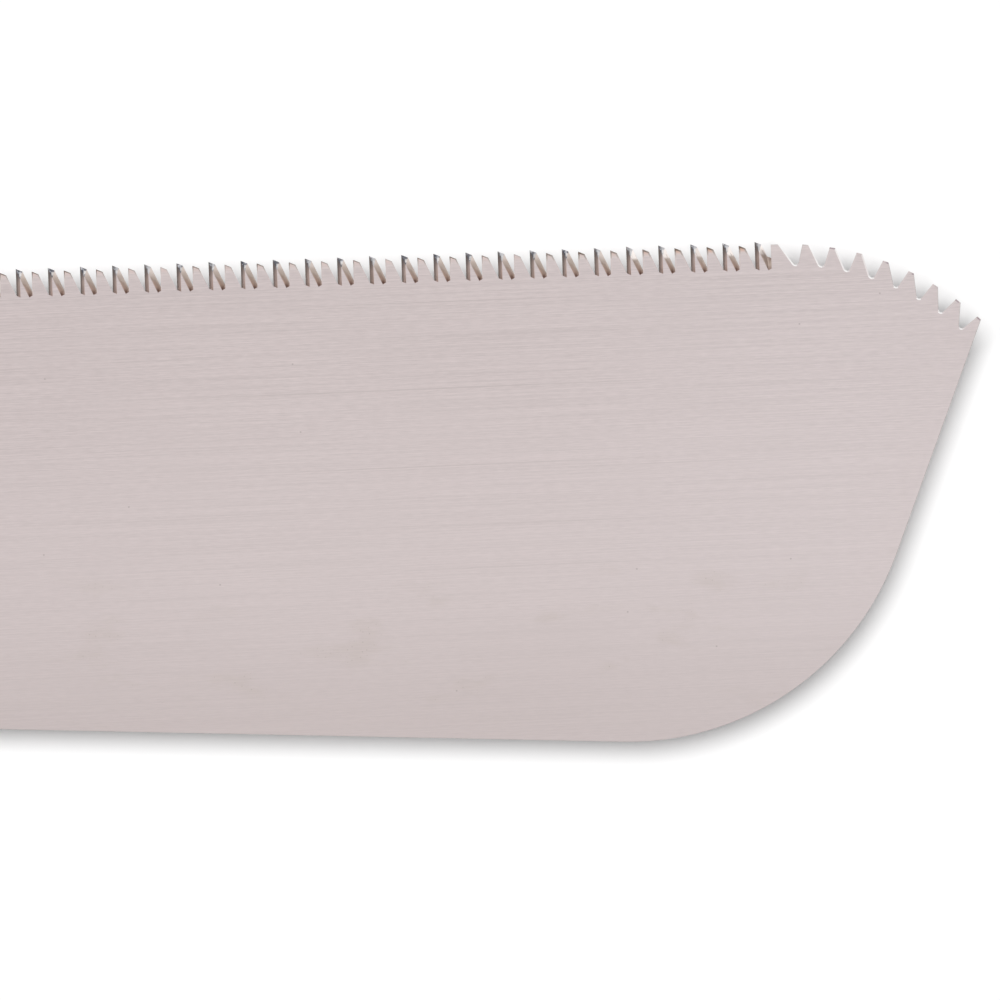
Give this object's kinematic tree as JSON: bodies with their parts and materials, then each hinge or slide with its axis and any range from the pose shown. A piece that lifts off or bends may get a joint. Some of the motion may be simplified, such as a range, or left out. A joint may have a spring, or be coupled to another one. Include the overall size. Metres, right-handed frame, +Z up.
{
  "type": "japanese crosscut saw",
  "caption": "Pull saw with a thin toothed steel blade, a forked tang clamped in a folded socket by a thumb screw, and a long cane-bound wooden handle.",
  "frame": {"origin": "middle of the underside of the whole saw's box, as it lies on its ferrule and butt cap", "axes": "+X from the handle to the toe, +Y to the toothed side, +Z up and square to the plate"},
  "size_m": [0.6186, 0.0544, 0.022],
  "materials": {
    "plate_steel": "finely brushed along the blade, with brown heat tint on the hardened teeth",
    "socket_steel": "satin",
    "screw_steel": "bright plated",
    "pin_brass": "filed flush",
    "handle_wood": "oiled",
    "rattan_cane": "natural cane with its glossy bark side out",
    "cap_plastic": "moulded"
  },
  "bodies": {
    "handle": {"blade_socket": "socket_steel", "clamp_washer": "screw_steel", "clamp_nut": "socket_steel", "guide_pin": "socket_steel", "socket_rivet_front": "pin_brass", "socket_rivet_rear": "socket_steel", "ferrule": "socket_steel", "handle_half_upper": "handle_wood", "handle_half_lower": "handle_wood", "dowel_front": "handle_wood", "dowel_rear": "handle_wood", "rattan_wrap_front": "rattan_cane", "rattan_wrap_rear": "rattan_cane", "rattan_tack_1": "pin_brass", "rattan_tack_2": "pin_brass", "rattan_tack_3": "pin_brass", "rattan_tack_4": "pin_brass", "butt_cap": "cap_plastic", "butt_cap_pin_upper": "pin_brass", "butt_cap_pin_lower": "pin_brass"},
    "blade": {"blade": "plate_steel"},
    "lock_washer": {"lock_washer": "screw_steel"},
    "clamp_screw": {"clamp_screw": "screw_steel"}
  },
  "joints": [
    {"name": "blade_draw", "type": "slide", "parent": "handle", "child": "blade", "axis": [1, 0, 0], "range_m": [0, 0.044]},
    {"name": "screw_rise", "type": "slide", "parent": "handle", "child": "lock_washer", "axis": [0, 0, 1], "range_m": [0, 0.0016]},
    {"name": "screw_turn", "type": "hinge", "parent": "lock_washer", "child": "clamp_screw", "pos_m": [0.00804, -0.00005, 0.011], "axis": [0, 0, 1], "range_deg": [0, 720]}
  ],
  "couplings": [
    {"joint": "screw_rise", "follows": "screw_turn", "m_per_rad": 0.0001273}
  ]
}
